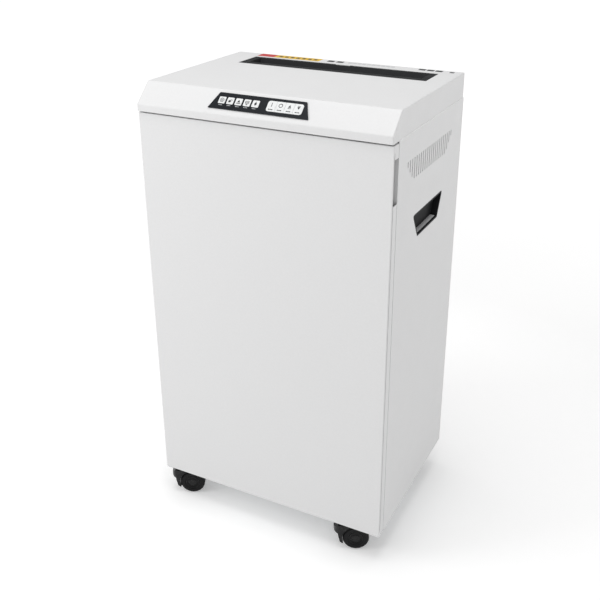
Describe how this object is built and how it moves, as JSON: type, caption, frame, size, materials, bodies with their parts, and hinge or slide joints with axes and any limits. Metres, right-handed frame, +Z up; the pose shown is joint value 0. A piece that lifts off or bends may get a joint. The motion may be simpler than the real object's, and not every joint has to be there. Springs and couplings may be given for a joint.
{
  "type": "paper shredder",
  "caption": "Floor-standing cabinet paper shredder with a feed slot in a sloped hood, key panel, hinged front door, waste bin, side grips and swivel casters.",
  "frame": {"origin": "on the floor under the middle of the cabinet", "axes": "+Z up, +X to the right as the user faces the door, +Y from the door to the back"},
  "size_m": [0.471, 0.3446, 0.85],
  "materials": {
    "white_paint": "fine textured powder coat",
    "black_plastic": "fine grained",
    "panel_black": "printed film",
    "white_plastic": "satin",
    "grey_plastic": "moulded",
    "galvanised": "zinc plated sheet",
    "bright_steel": "turned and ground",
    "gear_steel": "hardened and oiled",
    "motor_paint": "satin",
    "board_green": "solder mask",
    "capacitor_can": "smooth",
    "dark_plastic": "smooth",
    "caster_steel": "black zinc plated",
    "caster_plastic": "moulded nylon",
    "caster_tread": "nylon wheel",
    "label_print": "printed label",
    "fastener_zinc": "zinc plated"
  },
  "bodies": {
    "root": {"side_panel_right": "white_paint", "side_panel_left": "white_paint", "grip_cup_right": "black_plastic", "grip_cup_left": "black_plastic", "rear_panel": "white_paint", "base_pan": "galvanised", "mechanism_deck": "galvanised", "chip_chute": "galvanised", "mechanism_cover": "galvanised", "hood": "white_paint", "feed_throat": "black_plastic", "paper_sensor": "dark_plastic", "control_panel": "panel_black", "light_guide": "white_plastic", "control_board": "board_green", "power_inlet": "black_plastic", "switch_frame": "black_plastic", "idler_stud": "bright_steel", "comb_front": "galvanised", "comb_rear": "galvanised", "head_plate_left": "galvanised", "head_plate_right": "galvanised", "tie_rod_front": "bright_steel", "tie_rod_rear": "bright_steel", "motor_housing": "motor_paint", "run_capacitor": "capacitor_can", "power_board": "board_green", "hinge_bracket_bottom": "galvanised", "hinge_bracket_top": "galvanised", "magnet_catch": "dark_plastic", "door_switch": "dark_plastic", "waste_bin": "grey_plastic", "caster_plate_front_left": "caster_steel", "caster_plate_front_right": "caster_steel", "caster_plate_rear_left": "caster_steel", "caster_plate_rear_right": "caster_steel"},
    "door": {"door_panel": "white_paint", "strike_plate": "bright_steel"},
    "rocker": {"power_rocker": "black_plastic"},
    "cutter_front": {"cutter_front": "bright_steel", "sync_gear_front": "gear_steel"},
    "cutter_rear": {"cutter_rear": "bright_steel", "sync_gear_rear": "gear_steel"},
    "idler": {"idler_gear": "gear_steel"},
    "motor_rotor": {"motor_pinion": "gear_steel"},
    "key_start": {"key_start": "white_plastic"},
    "key_stop": {"key_stop": "white_plastic"},
    "key_reverse": {"key_reverse": "white_plastic"},
    "key_forward": {"key_forward": "white_plastic"},
    "swivel_front_left": {"caster_housing_front_left": "caster_plastic"},
    "wheels_front_left": {"caster_wheels_front_left": "caster_tread"},
    "swivel_front_right": {"caster_housing_front_right": "caster_plastic"},
    "wheels_front_right": {"caster_wheels_front_right": "caster_tread"},
    "swivel_rear_left": {"caster_housing_rear_left": "caster_plastic"},
    "wheels_rear_left": {"caster_wheels_rear_left": "caster_tread"},
    "swivel_rear_right": {"caster_housing_rear_right": "caster_plastic"},
    "wheels_rear_right": {"caster_wheels_rear_right": "caster_tread"}
  },
  "joints": [
    {"name": "door_hinge", "type": "hinge", "parent": "root", "child": "door", "pos_m": [-0.2315, -0.15915, 0.43], "axis": [0, 0, -1], "range_deg": [0, 110]},
    {"name": "key_start_press", "type": "slide", "parent": "root", "child": "key_start", "axis": [0, 0.6956, -0.7185], "range_m": [0, 0.0006], "stiffness_N_per_m": 400, "springref_m": -0.001},
    {"name": "key_stop_press", "type": "slide", "parent": "root", "child": "key_stop", "axis": [0, 0.6956, -0.7185], "range_m": [0, 0.0006], "stiffness_N_per_m": 400, "springref_m": -0.001},
    {"name": "key_reverse_press", "type": "slide", "parent": "root", "child": "key_reverse", "axis": [0, 0.6956, -0.7185], "range_m": [0, 0.0006], "stiffness_N_per_m": 400, "springref_m": -0.001},
    {"name": "key_forward_press", "type": "slide", "parent": "root", "child": "key_forward", "axis": [0, 0.6956, -0.7185], "range_m": [0, 0.0006], "stiffness_N_per_m": 400, "springref_m": -0.001},
    {"name": "power_rocker_tilt", "type": "hinge", "parent": "root", "child": "rocker", "pos_m": [-0.198, 0.16325, 0.758], "axis": [1, 0, 0], "range_deg": [0, 16]},
    {"name": "cutter_front_spin", "type": "hinge", "parent": "root", "child": "cutter_front", "pos_m": [0, 0.07645, 0.733], "axis": [1, 0, 0], "continuous": true},
    {"name": "cutter_rear_spin", "type": "hinge", "parent": "root", "child": "cutter_rear", "pos_m": [0, 0.13045, 0.733], "axis": [1, 0, 0], "continuous": true},
    {"name": "idler_spin", "type": "hinge", "parent": "root", "child": "idler", "pos_m": [0.189, 0.00515, 0.74302], "axis": [1, 0, 0], "continuous": true},
    {"name": "motor_spin", "type": "hinge", "parent": "root", "child": "motor_rotor", "pos_m": [0.189, -0.05541, 0.72566], "axis": [1, 0, 0], "continuous": true},
    {"name": "swivel_front_left_turn", "type": "hinge", "parent": "root", "child": "swivel_front_left", "pos_m": [-0.184, -0.13055, 0.0545], "axis": [0, 0, 1], "continuous": true},
    {"name": "wheels_front_left_roll", "type": "hinge", "parent": "swivel_front_left", "child": "wheels_front_left", "pos_m": [-0.19306, -0.13478, 0.025], "axis": [-0.4226, 0.9063, 0], "continuous": true},
    {"name": "swivel_front_right_turn", "type": "hinge", "parent": "root", "child": "swivel_front_right", "pos_m": [0.184, -0.13055, 0.0545], "axis": [0, 0, 1], "continuous": true},
    {"name": "wheels_front_right_roll", "type": "hinge", "parent": "swivel_front_right", "child": "wheels_front_right", "pos_m": [0.17494, -0.13478, 0.025], "axis": [-0.4226, 0.9063, 0], "continuous": true},
    {"name": "swivel_rear_left_turn", "type": "hinge", "parent": "root", "child": "swivel_rear_left", "pos_m": [-0.184, 0.13055, 0.0545], "axis": [0, 0, 1], "continuous": true},
    {"name": "wheels_rear_left_roll", "type": "hinge", "parent": "swivel_rear_left", "child": "wheels_rear_left", "pos_m": [-0.19306, 0.12632, 0.025], "axis": [-0.4226, 0.9063, 0], "continuous": true},
    {"name": "swivel_rear_right_turn", "type": "hinge", "parent": "root", "child": "swivel_rear_right", "pos_m": [0.184, 0.13055, 0.0545], "axis": [0, 0, 1], "continuous": true},
    {"name": "wheels_rear_right_roll", "type": "hinge", "parent": "swivel_rear_right", "child": "wheels_rear_right", "pos_m": [0.17494, 0.12632, 0.025], "axis": [-0.4226, 0.9063, 0], "continuous": true}
  ],
  "couplings": [
    {"joint": "cutter_rear_spin", "follows": "cutter_front_spin", "ratio": -1},
    {"joint": "idler_spin", "follows": "cutter_front_spin", "ratio": -0.6},
    {"joint": "motor_spin", "follows": "cutter_front_spin", "ratio": 1.5}
  ]
}
